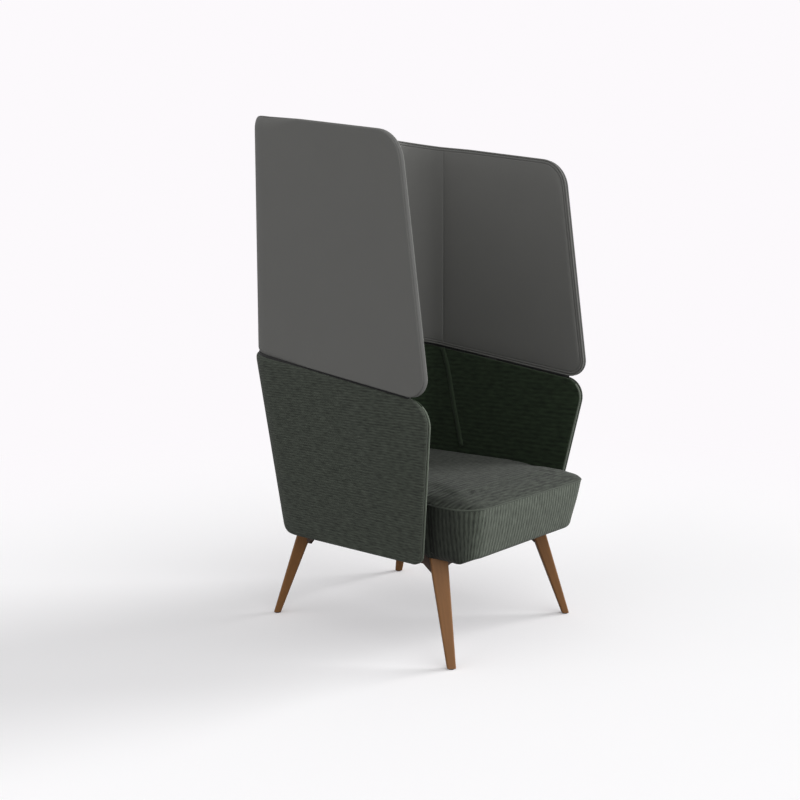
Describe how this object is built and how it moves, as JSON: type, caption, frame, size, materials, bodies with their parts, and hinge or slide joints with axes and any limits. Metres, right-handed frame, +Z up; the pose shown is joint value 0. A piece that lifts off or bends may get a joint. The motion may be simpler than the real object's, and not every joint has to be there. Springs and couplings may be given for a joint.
{
  "type": "acoustic high back lounge chair",
  "caption": "Lounge chair with an upholstered flaring tub, a tall U-shaped acoustic screen above it, a crowned seat cushion and splayed tapered wooden legs",
  "frame": {"origin": "on the floor, below the middle of the chair's bounding box", "axes": "+Z up, the sitter faces -Y, +X is the sitter's left"},
  "size_m": [0.7536, 0.7267, 1.405],
  "materials": {
    "leg_wood": "walnut-stained satin timber",
    "plywood": "raw birch plywood",
    "tub_fabric": "dark green fine-ribbed upholstery cloth",
    "screen_fabric": "mid grey plain-weave screen cloth",
    "foam": "upholstery foam",
    "dust_cloth": "black non-woven cloth",
    "glide_plastic": "black nylon",
    "strap_steel": "black powder coat",
    "steel_fixings": "zinc-plated steel"
  },
  "bodies": {
    "root": {"leg_front_left": "leg_wood", "leg_front_right": "leg_wood", "leg_rear_left": "leg_wood", "leg_rear_right": "leg_wood", "side_rail_left": "leg_wood", "side_rail_right": "leg_wood", "front_rail": "leg_wood", "rear_rail": "leg_wood", "foot_glides": "glide_plastic", "leg_screws": "steel_fixings", "rail_screws": "steel_fixings", "seat_deck": "plywood", "dust_cloth": "dust_cloth", "seat_foam": "foam", "seat_band_cover": "tub_fabric", "seat_top_cover": "tub_fabric", "seat_seam_piping": "tub_fabric", "tub_core": "plywood", "tub_outer_cover": "tub_fabric", "tub_inner_pad": "tub_fabric", "tub_edge_band": "tub_fabric", "tub_screws": "steel_fixings", "screen_core": "plywood", "screen_outer_cover": "screen_fabric", "screen_inner_pad": "screen_fabric", "screen_strap_left": "strap_steel", "screen_strap_right": "strap_steel", "screen_strap_rear": "strap_steel", "strap_screws": "steel_fixings"}
  },
  "joints": []
}
